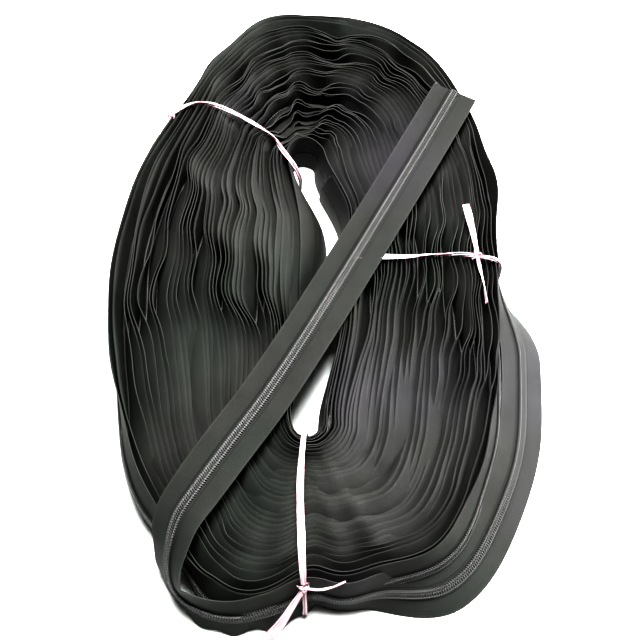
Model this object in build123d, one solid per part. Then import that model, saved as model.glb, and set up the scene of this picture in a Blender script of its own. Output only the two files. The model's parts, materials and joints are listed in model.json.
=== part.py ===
from build123d import *
from math import atan2, ceil, cos, degrees, hypot, pi, radians, sin, sqrt
import os

# A hank of continuous coil zipper chain. The chain stands on its edge and is wound into a long
# oval ring, three split-film ribbons tie it, and its outer end is turned up over the ring's rim
# and lies across the top. Sizes are in millimetres. X is the ring's width, Y its length, Z up.

# Chain, two woven tapes with a nylon coil sewn along the facing edge of each.
TAPE_WIDTH = 15.6
TAPE_THICKNESS = 0.6
TAPE_GAP = 0.8
COIL_HEIGHT = 1.5
COIL_BASE = 2.45
COIL_TOOTH = 1.4
COIL_TOOTH_WIDTH = 0.65
COIL_PITCH = 1.5
SEWING_GAP = 0.05
CORD_DIAMETER = 0.8
CORD_CLEARANCE = 0.05
STITCH_WIDTH = 0.7
STITCH_THICKNESS = 0.15

# The wound ring. Pitches are how far each next turn lies from the last at four places.
TURNS = 34
HOLE_HALF_WIDTH = 11.0
HOLE_HALF_LENGTH = 104.0
HOLE_END_RADIUS = 8.0
LEFT_PITCH = 3.6
RIGHT_PITCH = 3.2
NEAR_PITCH = 3.1
FAR_PITCH = 3.05
NEAR_END_GROWTH = 3.15
FAR_END_GROWTH = 2.7
LAST_ARC_END = 222.0

# The free end, from the fold at the rim to the cut, and the fold's bend.
FREE_END_LENGTH = 360.0
FREE_END_HEADING = 60.2
FOLD_X = -90.0
FOLD_Y = -171.0
LIFT_SPAN_LENGTH = 180.0
SPAN_GAP = 0.3
LAY_GAP = 0.6
FOLD_BEND_RADIUS = 2.0
FOLD_CLEARANCE = 0.3
FOLD_FOOT = 0.6

# The ribbons.
RIBBON_WIDTH = 4.5
RIBBON_THICKNESS = 0.4
RIBBON_CLEARANCE = 0.3
RIBBON_CORNER = 1.2
KNOT_RING_RADIUS = 2.4
KNOT_STRAND_RADIUS = 1.7

CHAIN_WIDTH = 2 * TAPE_WIDTH + TAPE_GAP
HALF_TAPE = TAPE_THICKNESS / 2
COIL_INNER = HALF_TAPE + SEWING_GAP
COIL_OUTER = COIL_INNER + COIL_HEIGHT
WOUND_OUTER = COIL_OUTER
TOP_OF_TIP = COIL_OUTER + STITCH_THICKNESS

LOWER_TAPE_SPAN = (0.0, TAPE_WIDTH)
UPPER_TAPE_SPAN = (TAPE_WIDTH + TAPE_GAP, CHAIN_WIDTH)
COIL_REACH = COIL_BASE + COIL_TOOTH / 2
COIL_MEETING_GAP = 0.1
LOWER_COIL_SPAN = (CHAIN_WIDTH / 2 - COIL_REACH, CHAIN_WIDTH / 2 - COIL_MEETING_GAP / 2)
UPPER_COIL_SPAN = (CHAIN_WIDTH / 2 + COIL_MEETING_GAP / 2, CHAIN_WIDTH / 2 + COIL_REACH)


class HalfOval:
    """One half turn of the winding's centre line: a near end arc, a side arc and a far end arc."""

    def __init__(self, side, turns_out):
        self.side = side
        near_turns = turns_out + (0.5 if side > 0 else 0.0)
        far_turns = turns_out + (0.0 if side > 0 else 0.5)
        pitch = RIGHT_PITCH if side > 0 else LEFT_PITCH
        self.width = HOLE_HALF_WIDTH + pitch * (turns_out + 0.25)
        self.near_radius = HOLE_END_RADIUS + NEAR_END_GROWTH * near_turns
        self.far_radius = HOLE_END_RADIUS + FAR_END_GROWTH * far_turns
        near_y = -(HOLE_HALF_LENGTH + NEAR_PITCH * near_turns) + self.near_radius
        far_y = HOLE_HALF_LENGTH + FAR_PITCH * far_turns - self.far_radius
        self.near = Vector(0, near_y)
        self.far = Vector(0, far_y)
        self.side_radius, side_y = self.fit_side_arc(near_y, far_y)
        self.centre = Vector(side * (self.width - self.side_radius), side_y)

    def fit_side_arc(self, near_y, far_y):
        """The side arc touches both end arcs and is widest at self.width."""
        rise = (self.far_radius - self.near_radius) / (far_y - near_y)
        level = (near_y + far_y) / 2 - rise * (self.near_radius + self.far_radius) / 2
        square = rise * rise
        linear = 2 * (rise * (level - near_y) + self.near_radius - self.width)
        fixed = self.width ** 2 + (level - near_y) ** 2 - self.near_radius ** 2
        if square < 1e-9:
            radius = -fixed / linear
        else:
            radius = (-linear - sqrt(linear * linear - 4 * square * fixed)) / (2 * square)
        return radius, level + rise * radius

    def arcs(self, offset):
        """The half turn's arcs at an offset outwards, in the order in which it is wound."""
        near, far, centre = self.near, self.far, self.centre
        r_near, r_far = self.near_radius + offset, self.far_radius + offset
        start = near + Vector(0, -r_near)
        low = near + (near - centre).normalized() * r_near
        high = far + (far - centre).normalized() * r_far
        finish = far + Vector(0, r_far)
        run = [(near, start, low, r_near), (centre, low, high, self.side_radius + offset)]
        run.append((far, high, finish, r_far))
        if self.side > 0:
            run = [(c, q, p, r) for c, p, q, r in reversed(run)]
        return [arc_about(*item) for item in run]

    def distance(self, point):
        """Signed distance of a point from this half turn, positive outside it."""
        low = self.near - self.centre
        high = self.far - self.centre
        ray = point - self.centre
        turn = self.side
        if turn * (low.X * ray.Y - low.Y * ray.X) < 0:
            return (point - self.near).length - self.near_radius
        if turn * (high.X * ray.Y - high.Y * ray.X) > 0:
            return (point - self.far).length - self.far_radius
        return ray.length - self.side_radius


def arc_about(centre, first, last, radius):
    """The shorter arc between two points on a circle."""
    middle = (first - centre).normalized() + (last - centre).normalized()
    return ThreePointArc(first, centre + middle.normalized() * radius, last)


def winding():
    """Every half turn, from the inner cut end out to the near end of the outermost turn."""
    halves = [HalfOval(1 if count % 2 == 0 else -1, count / 2) for count in range(2 * TURNS + 1)]
    return halves


def last_arc(offset):
    """The stretch of the outermost turn that runs on past the near end, to the fold."""
    half = HalfOval(-1, TURNS + 0.5)
    radius = half.near_radius + offset
    middle = radians((270 + LAST_ARC_END) / 2)
    end = radians(LAST_ARC_END)
    points = [Vector(0, -radius), Vector(cos(middle), sin(middle)) * radius]
    points.append(Vector(cos(end), sin(end)) * radius)
    return ThreePointArc(*[half.near + point for point in points])


def wound_band(inner, outer, span):
    """A band that follows the whole winding between two offsets, over a span of heights."""
    inside, outside = [], []
    for half in winding():
        inside += half.arcs(inner)
        outside += half.arcs(outer)
    inside.append(last_arc(inner))
    outside.append(last_arc(outer))
    ends = [Line(inside[-1] @ 1, outside[-1] @ 1), Line(inside[0] @ 0, outside[0] @ 0)]
    face = Face(Wire(inside + outside + ends))
    return Pos(0, 0, span[0]) * extrude(face, span[1] - span[0])


def heading_vector(heading):
    return Vector(cos(radians(heading)), sin(radians(heading)))


def upright_plane(x, y, heading):
    """A vertical plane through a point: local x runs along the heading and local y is up."""
    along = heading_vector(heading)
    return Plane(origin=(x, y, 0), x_dir=along, z_dir=(along.Y, -along.X, 0))


class Tie:
    """One ribbon, tied round the ring's section on a line from a point in the hole."""

    def __init__(self, name, x, y, heading, knot_from_rim, tails):
        self.name = name
        self.start = Vector(x, y)
        self.heading = heading
        self.knot_from_rim = knot_from_rim
        self.tails = tails
        self.plane = upright_plane(x, y, heading)
        self.inner = min(self.reach(shift, 0, -HALF_TAPE) for shift in self.edges())
        self.outer = max(self.reach(shift, TURNS, WOUND_OUTER) for shift in self.edges())

    def edges(self):
        return (-RIBBON_WIDTH / 2, 0, RIBBON_WIDTH / 2)

    def reach(self, shift, turns_out, offset):
        """How far along the heading a turn's face lies, at a shift to the side."""
        along = heading_vector(self.heading)
        across = Vector(-along.Y, along.X)
        low, high = 0.0, 2 * (HOLE_HALF_LENGTH + NEAR_PITCH * TURNS)
        for _ in range(50):
            middle = (low + high) / 2
            point = self.start + across * shift + along * middle
            side = 1 if point.X > 0 else -1
            extra = 0.5 if turns_out > 0 else 0.0
            inside = HalfOval(side, turns_out + extra * (side < 0)).distance(point) < offset
            low, high = (middle, high) if inside else (low, middle)
        return low

    def frame(self, grow):
        """A rounded rectangle round the section, grown from the chain by a distance."""
        left = self.inner - RIBBON_CLEARANCE - grow
        right = self.outer + RIBBON_CLEARANCE + grow
        tall = CHAIN_WIDTH - 2 * RIBBON_THICKNESS + 2 * grow
        shape = RectangleRounded(right - left, tall, RIBBON_CORNER - RIBBON_THICKNESS + grow)
        return Pos((left + right) / 2, CHAIN_WIDTH / 2) * shape

    def loop(self):
        face = self.frame(RIBBON_THICKNESS) - self.frame(0)
        return extrude(self.plane * face, RIBBON_WIDTH / 2, both=True)

    def bite(self):
        """The space the ribbon presses into the tapes' edges."""
        reach = self.outer - self.inner + 4 * RIBBON_CLEARANCE
        wide = RIBBON_WIDTH + 2 * RIBBON_CLEARANCE
        deep = RIBBON_THICKNESS + RIBBON_CLEARANCE
        middle = (self.inner + self.outer) / 2
        cutters = [Box(reach, 2 * deep, wide), Pos(0, CHAIN_WIDTH) * Box(reach, 2 * deep, wide)]
        return [self.plane * (Pos(middle, 0) * cutter) for cutter in cutters]


def tail(length, start_slope, end_slope):
    """A ribbon tail in its own upright plane, bent evenly from one slope to another."""
    turn = radians(end_slope - start_slope)
    radius = length / turn
    first = radians(start_slope)

    def curve(offset):
        points = []
        for share in (0, 0.5, 1):
            angle = first + turn * share
            x = radius * (sin(angle) - sin(first)) - offset * sin(angle)
            y = radius * (cos(first) - cos(angle)) + offset * cos(angle)
            points.append((x, y))
        return ThreePointArc(*points)

    below, above = curve(0), curve(RIBBON_THICKNESS)
    face = Face(Wire([below, Line(below @ 1, above @ 1), above, Line(above @ 0, below @ 0)]))
    return extrude(face, RIBBON_WIDTH / 2, both=True)


def knot_lump():
    """An overhand knot pulled tight, as a thick ring with a filled middle."""
    return Torus(KNOT_RING_RADIUS, KNOT_STRAND_RADIUS) + Sphere(KNOT_RING_RADIUS)


def top_knot(tie):
    """A knot that sits on the ribbon's top run, with two tails lying over the tapes' edges."""
    reach = tie.outer - tie.knot_from_rim
    spot = tie.start + heading_vector(tie.heading) * reach
    level = CHAIN_WIDTH + KNOT_STRAND_RADIUS / 2
    knot = Pos(spot.X, spot.Y, level) * Rot(0, 0, tie.heading) * Rot(0, 90, 0) * knot_lump()
    for heading, length, start_slope, end_slope in tie.tails:
        plane = upright_plane(spot.X, spot.Y, heading)
        knot += plane * (Pos(0, level) * tail(length, start_slope, end_slope))
    return knot - Pos(spot.X, spot.Y, 0) * Box(30, 30, 2 * CHAIN_WIDTH)


def rim_knot(tie):
    """A knot on the ribbon's outer run, with one tail along the rim and one down to the table."""
    face = tie.outer + RIBBON_CLEARANCE + RIBBON_THICKNESS
    level = 0.62 * CHAIN_WIDTH
    out = Vector(face + KNOT_STRAND_RADIUS / 2, level)
    knot = Pos(out.X, out.Y) * Rot(0, 90, 0) * Rot(90, 0, 0) * knot_lump()
    side_heading, side_length = tie.tails[0]
    strip = Box(side_length, RIBBON_WIDTH, RIBBON_THICKNESS)
    strip = Pos(0, 0, side_length / 2) * Rot(0, 90, 0) * strip
    knot += Pos(out.X, out.Y) * Rot(0, side_heading, 0) * strip
    down_heading, down_length, start_slope, end_slope = tie.tails[1]
    hanging = tail(down_length, start_slope, end_slope)
    knot += Pos(out.X, out.Y) * Rot(0, down_heading, 0) * hanging
    knot -= Pos(face - 15, level) * Box(30, 30, 60)
    return tie.plane * knot


def ties():
    left = Tie("left_tie", -3, 84, 154, 3.0, [(72, 24, 16, 4), (242, 36, 16, 3)])
    right = Tie("right_tie", 0, 16, -2, 13.0, [(100, 28, 16, 4), (277, 26, 16, 4)])
    near = Tie("near_tie", -3, -92, 268, 0.0, [(180, 23), (-35, 26, -50, -38)])
    return left, right, near


def deck():
    """The free end's own frame: x along it from the fold, y to its left, z up from mid-tape."""
    along = heading_vector(FREE_END_HEADING)
    level = CHAIN_WIDTH + LAY_GAP + HALF_TAPE
    return Plane(origin=(FOLD_X, FOLD_Y, level), x_dir=along, z_dir=(0, 0, 1))


def block(x_span, y_span, z_span):
    """A box between three pairs of limits."""
    sizes = [high - low for low, high in (x_span, y_span, z_span)]
    middles = [(low + high) / 2 for low, high in (x_span, y_span, z_span)]
    return Pos(*middles) * Box(*sizes)


def mirrored(span, side):
    """A span across the chain, for the left side (1) or the right side (-1)."""
    return span if side > 0 else (-span[1], -span[0])


def flat_tape(x_span, side):
    y_span = mirrored((TAPE_GAP / 2, TAPE_GAP / 2 + TAPE_WIDTH), side)
    return block(x_span, y_span, (-HALF_TAPE, HALF_TAPE))


def flat_coil(x_span, side):
    """A row of coil loops as a toothed bar whose teeth lie between those of the other side."""
    root = COIL_REACH - COIL_BASE
    tip = root - COIL_TOOTH
    margin = (COIL_PITCH - COIL_TOOTH_WIDTH) / 2
    first = margin + (0 if side > 0 else COIL_PITCH / 2)
    points = [(x_span[0], root)]
    x = x_span[0] + first
    while x + COIL_TOOTH_WIDTH < x_span[1] - SPAN_GAP:
        points += [(x, root), (x, tip), (x + COIL_TOOTH_WIDTH, tip), (x + COIL_TOOTH_WIDTH, root)]
        x += COIL_PITCH
    points += [(x_span[1], root), (x_span[1], COIL_REACH), (x_span[0], COIL_REACH)]
    face = make_face(Polyline(*[(px, side * py) for px, py in points], close=True))
    bar = Pos(0, 0, COIL_INNER) * extrude(face, COIL_HEIGHT, dir=(0, 0, 1))
    return bar - cord_rod(x_span, side, CORD_DIAMETER / 2 + CORD_CLEARANCE)


def cord_rod(x_span, side, radius):
    """The filler cord's run through the coil, or the bore it lies in."""
    y = side * (COIL_REACH - COIL_BASE / 2)
    rod = Rot(0, 90, 0) * Cylinder(radius, x_span[1] - x_span[0])
    return Pos((x_span[0] + x_span[1]) / 2, y, COIL_INNER + COIL_HEIGHT / 2) * rod


def flat_stitching(x_span, side):
    """The row of stitches that holds the coil down, as one thin strip on its back."""
    middle = COIL_REACH - COIL_BASE / 2
    y_span = mirrored((middle - STITCH_WIDTH / 2, middle + STITCH_WIDTH / 2), side)
    return block(x_span, y_span, (COIL_OUTER, TOP_OF_TIP))


def free_span(name, x_span):
    """All the pieces of one stretch of the free end, in the shared frame."""
    pieces = {}
    for word, side in (("left", 1), ("right", -1)):
        pieces[f"{name}_{word}_tape"] = flat_tape(x_span, side)
        pieces[f"{name}_{word}_coil"] = flat_coil(x_span, side)
        pieces[f"{name}_{word}_core_cord"] = cord_rod(x_span, side, CORD_DIAMETER / 2)
        pieces[f"{name}_{word}_stitching"] = flat_stitching(x_span, side)
    return {node: deck().location * piece for node, piece in pieces.items()}


def rim_reach():
    """How far past the fold the outermost turn reaches, under the free end's right edge."""
    half = HalfOval(-1, TURNS + 0.5)
    along = heading_vector(FREE_END_HEADING)
    offset = Vector(FOLD_X, FOLD_Y) - half.near
    across = offset.X * along.Y - offset.Y * along.X + CHAIN_WIDTH / 2
    back = -(offset.X * along.X + offset.Y * along.Y)
    return sqrt((half.near_radius + WOUND_OUTER) ** 2 - across ** 2) - back


def fold_band(y_span, inner, outer):
    """Chain bent from lying flat on top to hanging down the rim, between two offsets."""
    out = rim_reach() + FOLD_CLEARANCE + HALF_TAPE
    radius = FOLD_BEND_RADIUS
    foot = FOLD_FOOT - deck().origin.Z
    start = -SPAN_GAP / 2

    def side(offset):
        reach = radius + offset
        centre_x, centre_z = -(out - radius), -radius
        flat_end = (centre_x, centre_z + reach)
        slant = (centre_x - reach * sin(pi / 4), centre_z + reach * cos(pi / 4))
        drop = (centre_x - reach, centre_z)
        return [
            Line((start, offset), flat_end),
            ThreePointArc(flat_end, slant, drop),
            Line(drop, (centre_x - reach, foot)),
        ]

    below, above = side(inner), side(outer)
    ends = [Line(below[0] @ 0, above[0] @ 0), Line(below[-1] @ 1, above[-1] @ 1)]
    face = Face(Wire(below + above + ends))
    plane = Plane(origin=(0, y_span[0], 0), x_dir=(1, 0, 0), z_dir=(0, -1, 0))
    solid = extrude(plane * face, y_span[1] - y_span[0], dir=(0, 1, 0))
    return deck().location * solid


def fold_pieces():
    """The stretch of chain that climbs the rim and folds over it."""
    pieces = {}
    for word, side in (("left", 1), ("right", -1)):
        tape = mirrored((TAPE_GAP / 2, TAPE_GAP / 2 + TAPE_WIDTH), side)
        coil = mirrored((COIL_MEETING_GAP / 2, COIL_REACH), side)
        pieces[f"fold_{word}_tape"] = fold_band(tape, -HALF_TAPE, HALF_TAPE)
        pieces[f"fold_{word}_coil"] = fold_band(coil, COIL_INNER, COIL_OUTER)
    return pieces


def wound_pieces(tie_list):
    """The wound chain: the left side of it is the lower one as it stands on edge."""
    lower = wound_band(-HALF_TAPE, HALF_TAPE, LOWER_TAPE_SPAN)
    upper = wound_band(-HALF_TAPE, HALF_TAPE, UPPER_TAPE_SPAN)
    for tie in tie_list:
        below, above = tie.bite()
        lower -= below
        upper -= above
    return {
        "left_tape": lower,
        "right_tape": upper,
        "left_coil": wound_band(COIL_INNER, COIL_OUTER, LOWER_COIL_SPAN),
        "right_coil": wound_band(COIL_INNER, COIL_OUTER, UPPER_COIL_SPAN),
    }


def tie_pieces(tie_list):
    pieces = {}
    for tie in tie_list:
        knot = rim_knot(tie) if tie.knot_from_rim == 0 else top_knot(tie)
        pieces[f"{tie.name}_loop"] = tie.loop()
        pieces[f"{tie.name}_knot"] = knot
    return pieces


def main():
    tie_list = ties()
    pieces = wound_pieces(tie_list)
    pieces.update(fold_pieces())
    pieces.update(free_span("lift_span", (SPAN_GAP / 2, LIFT_SPAN_LENGTH - SPAN_GAP / 2)))
    pieces.update(free_span("tip_span", (LIFT_SPAN_LENGTH + SPAN_GAP / 2, FREE_END_LENGTH)))
    pieces.update(tie_pieces(tie_list))

    boxes = [piece.bounding_box() for piece in pieces.values()]
    middle_x = (min(box.min.X for box in boxes) + max(box.max.X for box in boxes)) / 2
    middle_y = (min(box.min.Y for box in boxes) + max(box.max.Y for box in boxes)) / 2
    base = min(box.min.Z for box in boxes)
    move = Pos(-middle_x, -middle_y, -base)

    os.makedirs("parts", exist_ok=True)
    for node, piece in pieces.items():
        export_step(move * piece, f"parts/{node}.step")

    hinge = move * deck().location
    print("pieces", len(pieces), "moved by", -middle_x, -middle_y, -base)
    print("lift hinge", (hinge * Pos(0, 0, TOP_OF_TIP)).position)
    print("curl hinge", (hinge * Pos(LIFT_SPAN_LENGTH, 0, TOP_OF_TIP)).position)
    area = TAPE_THICKNESS * TAPE_WIDTH
    print("wound length", pieces["left_tape"].volume / area)


main()
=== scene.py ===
"""A hank of nylon coil zipper chain, wound flat into an oval and tied at three places with film ribbon.
Its outer end is folded up over the rim and laid across the hank."""

import json
import math

import bpy
import numpy as np
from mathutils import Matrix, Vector


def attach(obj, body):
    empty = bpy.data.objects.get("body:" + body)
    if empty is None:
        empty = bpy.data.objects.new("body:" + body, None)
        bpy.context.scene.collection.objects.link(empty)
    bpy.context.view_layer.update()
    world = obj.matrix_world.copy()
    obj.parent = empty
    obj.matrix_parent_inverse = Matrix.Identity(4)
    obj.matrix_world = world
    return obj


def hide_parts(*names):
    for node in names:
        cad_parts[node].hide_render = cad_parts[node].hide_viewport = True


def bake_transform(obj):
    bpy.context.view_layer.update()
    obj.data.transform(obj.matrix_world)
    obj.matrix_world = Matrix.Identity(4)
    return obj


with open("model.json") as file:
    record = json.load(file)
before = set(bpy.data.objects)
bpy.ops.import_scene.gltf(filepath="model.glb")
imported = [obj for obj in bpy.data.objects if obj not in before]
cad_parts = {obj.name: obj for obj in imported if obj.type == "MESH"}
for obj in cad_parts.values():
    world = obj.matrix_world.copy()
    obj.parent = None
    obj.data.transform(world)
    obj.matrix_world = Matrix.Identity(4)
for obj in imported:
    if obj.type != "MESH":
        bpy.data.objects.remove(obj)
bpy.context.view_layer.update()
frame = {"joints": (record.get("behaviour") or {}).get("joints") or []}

MM = 0.001
RNG = np.random.default_rng(7)

# ---------------------------------------------------------------- sizes, in millimetres
CHAIN_HALF = 16.0
TAPE_EDGE = 0.4
TAPE_THICK = 0.6
COIL_ROOT = 3.1
COIL_PITCH = 1.5
WIRE = 0.31
HOLE_HALF_WIDTH, HOLE_HALF_LENGTH, HOLE_END_RADIUS = 11.0, 104.0, 8.0
LEFT_PITCH, RIGHT_PITCH, NEAR_PITCH, FAR_PITCH = 3.6, 3.2, 3.1, 3.05
NEAR_GROWTH, FAR_GROWTH = 3.15, 2.7
END_PITCH = 3.08
# The hole's centre from the fold, across and along the hank.
HOLE_FROM_FOLD = (90.0, 171.0)
# How far an edge can lean; the sagging turn's lean before that limit, and its reach.
MOST_LEAN = 15.2
SAG_LEAN = -24.0
SAG_REACH = 13.0
# Heights over the surface: a turn's low edge, the free end's, then the lowest fibres and film.
REST_HEIGHT = 0.4
LOWEST_EDGE = 1.1
FIBRE_HEIGHT = 0.3
FILM_HEIGHT = 0.15
# The coil: how far its heads pass the middle, its mid-height and half the rise of its loops.
HEAD_REACH = 0.55
LOOP_HEIGHT, LOOP_RISE = 1.10, 0.52
# Distance out, height over the tape's middle and radius, for the stitches and the filler cord.
STITCH_OUT, STITCH_HEIGHT, THREAD_RADIUS = 2.05, 1.80, 0.17
CORD_OUT, CORD_HEIGHT, CORD_RADIUS = 1.7, 1.08, 0.26
RIBBON_WIDTH, RIBBON_THICK = 4.6, 0.22
FIBRE_RADIUS = 0.09

# Sizes in metres: the tape laid flat, the ribbon, the tape's weave, channel and selvedge, the floor.
WEFT_PITCH, WARP_PITCH = 0.00075, 0.00062
CHANNEL_PLACE, CHANNEL_HALF = 0.0046, 0.00028
SELVEDGE_START = 0.0149
FLOOR_HALF = 3

joints = {j["name"]: j for j in frame["joints"]}
FOLD = np.array(joints["free_end_lift"]["pos_m"]) / MM
CURL = np.array(joints["free_end_curl"]["pos_m"]) / MM
ALONG = (CURL - FOLD) / np.linalg.norm(CURL - FOLD)
HOLE = np.array([FOLD[0] + HOLE_FROM_FOLD[0], FOLD[1] + HOLE_FROM_FOLD[1]])


# ---------------------------------------------------------------- small helpers
def smooth(low, high, x):
    """0 below low, 1 above high, and an even rise between them."""
    t = np.clip((x - low) / (high - low), 0, 1)
    return t * t * (3 - 2 * t)


def unit(v):
    return v / np.maximum(np.linalg.norm(v, axis=-1, keepdims=True), 1e-9)


def bump(a, centre, width):
    """A smooth hump round the winding's turn, where a runs from 0 to 1 once round."""
    d = np.abs((a - centre + 0.5) % 1.0 - 0.5) / width
    return np.exp(-d * d)


class Waves:
    """Smooth noise, periodic once round the winding, that changes slowly from turn to turn."""

    def __init__(self, lows, highs, drift, count):
        self.m = RNG.integers(lows, highs + 1, count)
        self.w = RNG.normal(0, drift, count)
        self.p = RNG.uniform(0, 2 * math.pi, count)
        self.k = RNG.uniform(0.6, 1.0, count) / math.sqrt(count / 2)

    def __call__(self, a, q):
        out = 0.0
        for m, w, p, k in zip(self.m, self.w, self.p, self.k):
            out = out + k * np.cos(2 * math.pi * m * a + w * q + p)
        return out


# ---------------------------------------------------------------- nested ovals of the winding
def oval(c, a):
    """Point and outward normal on the nested oval that lies c turns out, at a of the way round.
    a is 0 at the far end and runs clockwise: right side, near end at 0.5, left side."""
    side = np.where(a < 0.5, 1.0, -1.0)
    s = np.where(a < 0.5, 2 * a, 2 - 2 * a)
    near_r = HOLE_END_RADIUS + NEAR_GROWTH * c
    far_r = HOLE_END_RADIUS + FAR_GROWTH * c
    near_y = -(HOLE_HALF_LENGTH + NEAR_PITCH * c) + near_r
    far_y = HOLE_HALF_LENGTH + FAR_PITCH * c - far_r
    wide = HOLE_HALF_WIDTH + np.where(side > 0, RIGHT_PITCH, LEFT_PITCH) * c
    rise = (far_r - near_r) / (far_y - near_y)
    level = (near_y + far_y) / 2 - rise * (near_r + far_r) / 2
    square = rise * rise + 1e-9
    linear = 2 * (rise * (level - near_y) + near_r - wide)
    fixed = wide**2 + (level - near_y) ** 2 - near_r**2
    big = (-linear - np.sqrt(linear * linear - 4 * square * fixed)) / (2 * square)
    cy = level + rise * big
    cx = wide - big
    t_far = np.arctan2(far_y - cy, -cx)
    t_near = np.arctan2(near_y - cy, -cx)
    quarter = math.pi / 2
    in_far = s < 0.25
    in_near = s > 0.75
    t = np.where(in_far, quarter + (t_far - quarter) * s / 0.25, 0)
    t = np.where(in_near, t_near + (-quarter - t_near) * (s - 0.75) / 0.25, t)
    t = np.where(~in_far & ~in_near, t_far + (t_near - t_far) * (s - 0.25) / 0.5, t)
    r = np.where(in_far, far_r, np.where(in_near, near_r, big))
    ox = np.where(in_far | in_near, 0, cx)
    oy = np.where(in_far, far_y, np.where(in_near, near_y, cy))
    nx, ny = np.cos(t), np.sin(t)
    x, y = ox + r * nx, oy + r * ny
    return np.stack([side * x, y], -1), np.stack([side * nx, ny], -1)


# Where the three ribbons cross the winding, as shares of the way round.
TIE_RIGHT, TIE_NEAR, TIE_LEFT = 0.240, 0.512, 0.853
OUTER = 34.5


class Bands(Waves):
    """Noise that runs smoothly along the chain but differs strongly from one turn to the next."""

    def __init__(self, highest, slow, fast, count, lowest=0):
        super().__init__(lowest, highest, 0.0, count)
        self.w = RNG.uniform(slow, fast, count) * RNG.choice([-1, 1], count)


shared_bands = Bands(3, 0.7, 2.2, 14)
top_bands = Bands(3, 1.4, 3.0, 18)
low_bands = Bands(3, 0.8, 2.4, 14)
flutter = Bands(20, 0.8, 2.4, 20, lowest=8)
lift_wave = Bands(5, 0.6, 2.2, 10)


# Share of the way round, half-width of the stretch, and the winding positions of wide gaps at the top.
BROAD_FACES = (
    (0.80, 0.060, (0.45, 1.55)),
    (0.75, 0.050, (9.3, 20.2, 28.4)),
    (0.68, 0.040, (15.2, 25.0, 31.3)),
    (0.62, 0.035, (29.8, 32.6)),
    (0.50, 0.095, (14.6, 19.4, 24.2, 28.5, 31.6)),
    (0.38, 0.060, (22.2, 26.4, 29.6, 31.9)),
    (0.30, 0.050, (12.5, 24.6, 31.2)),
    (0.14, 0.050, (1.6, 4.5, 8.4, 17.0)),
    (0.00, 0.080, (8.2, 16.4, 24.8, 31.5)),
    (0.93, 0.040, (12.2, 20.4, 29.0)),
)


def tie_grip(a, near_share=1.0):
    """How firmly the ribbons hold the turns together, from 0 to 1."""
    sides = np.maximum(bump(a, TIE_RIGHT, 0.028), bump(a, TIE_LEFT, 0.03))
    return np.maximum(sides, near_share * bump(a, TIE_NEAR, 0.022))


def pack_tables():
    """How far out each turn lies, in turns, at the low edge, the coil and the top edge.
    Gaps between turns vary along the winding. Top edges can lie closer than the tape is thick."""
    a, q = np.meshgrid(A_GRID, Q_GRID, indexing="ij")
    f = q / OUTER
    slack = 1 - 0.75 * tie_grip(a, 0.6)
    shared = shared_bands(a, q)
    ends = bump(a, 0.0, 0.13) + bump(a, 0.5, 0.10) * smooth(0.3, 0.6, f)
    right_low = bump(a, 0.37, 0.09) * smooth(0.4, 0.8, f)
    edge = smooth(0.55, 1.0, f)
    clump = 2.7 + 0.9 * ends + 0.6 * right_low
    wavy = 0.30 + 0.75 * ends + 0.70 * edge
    mid = np.exp(slack * 0.55 * shared)
    top = np.exp(slack * (0.5 * shared + clump * top_bands(a, q) + wavy * flutter(a, q)))
    low = np.exp(slack * (0.5 * shared + 0.8 * low_bands(a, q)))
    # Broad faces: two beside the hole on the left, and single turns that stand clear elsewhere.
    extra = 0.0
    for share, width, turns in BROAD_FACES:
        extra = extra + 7 * bump(a, share, width) * sum(np.exp(-(((q - turn) / 0.3) ** 2)) for turn in turns)
    # On the near side the inner turns are packed close and the outer ones fan out.
    shape = 1 + bump(a, 0.5, 0.13) * (-0.25 + 0.6 * smooth(0.35, 0.8, f))
    top = top * (1 - 0.6 * bump(a, 0.5, 0.10) * (1 - smooth(0.30, 0.42, f)))
    tables = []
    for weights, least, more in ((low, 0.25, 0), (mid, 0.74, 0), (top, 0.15 - 0.08 * ends, extra)):
        weights = weights * shape
        step = Q_GRID[1] - Q_GRID[0]
        inside = q <= OUTER
        for _ in range(3):
            mean = (weights * inside).sum(1, keepdims=True) / inside.sum(1, keepdims=True)
            weights = np.minimum(weights / mean, 6.0)
        weights = weights + more
        dense = least + (1 - least) * weights
        dense = dense / ((dense * inside).sum(1, keepdims=True) / inside.sum(1, keepdims=True))
        climb = np.cumsum((dense[:, 1:] + dense[:, :-1]) / 2 * step, 1)
        tables.append(np.concatenate([np.zeros((len(A_GRID), 1)), climb], 1))
    return tables


A_GRID = np.linspace(0, 1, 721)
Q_GRID = np.linspace(0, 36, 361)
LOW_T, MID_T, TOP_T = pack_tables()


def look(table, a, q):
    """Bilinear look-up of a table over the way round and the turn."""
    x = (a % 1.0) * (len(A_GRID) - 1)
    y = q / Q_GRID[-1] * (len(Q_GRID) - 1)
    i = np.clip(x.astype(int), 0, len(A_GRID) - 2)
    j = np.clip(y.astype(int), 0, len(Q_GRID) - 2)
    u, v = x - i, y - j
    return (
        table[i, j] * (1 - u) * (1 - v)
        + table[i + 1, j] * u * (1 - v)
        + table[i, j + 1] * (1 - u) * v
        + table[i + 1, j + 1] * u * v
    )


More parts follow.
